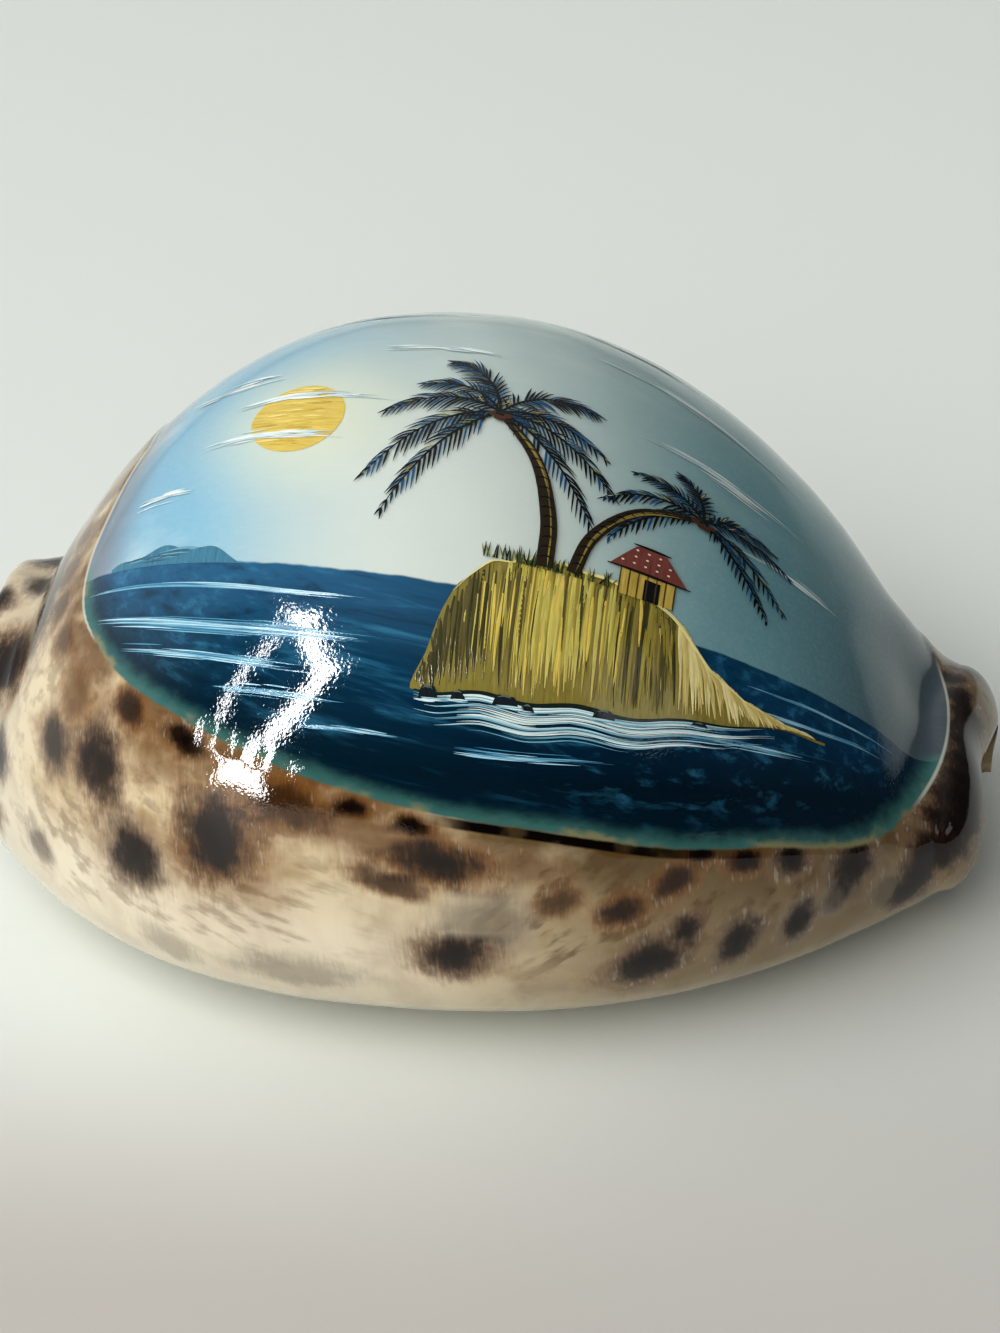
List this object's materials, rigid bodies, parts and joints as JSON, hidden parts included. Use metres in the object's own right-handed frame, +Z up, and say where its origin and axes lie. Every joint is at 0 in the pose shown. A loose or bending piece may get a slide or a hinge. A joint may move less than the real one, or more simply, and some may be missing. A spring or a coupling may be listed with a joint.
{
  "type": "tiger cowrie shell",
  "caption": "Large domed cowrie shell lying on its toothed slit, hollow and open below, glossy and dark-spotted, with a painted oval over its back.",
  "frame": {"origin": "centre of the bounding box's base, on the ground that the shell lies on", "axes": "+X along the slit towards the front (anterior) end, -Y towards the outer lip, +Z up out of the back of the shell"},
  "size_m": [0.0879, 0.066, 0.0457],
  "materials": {
    "shell_enamel": "natural enamel, polished, with dark spots and a lacquered painted oval"
  },
  "bodies": {
    "root": {"cowrie_shell": "shell_enamel"}
  },
  "joints": []
}
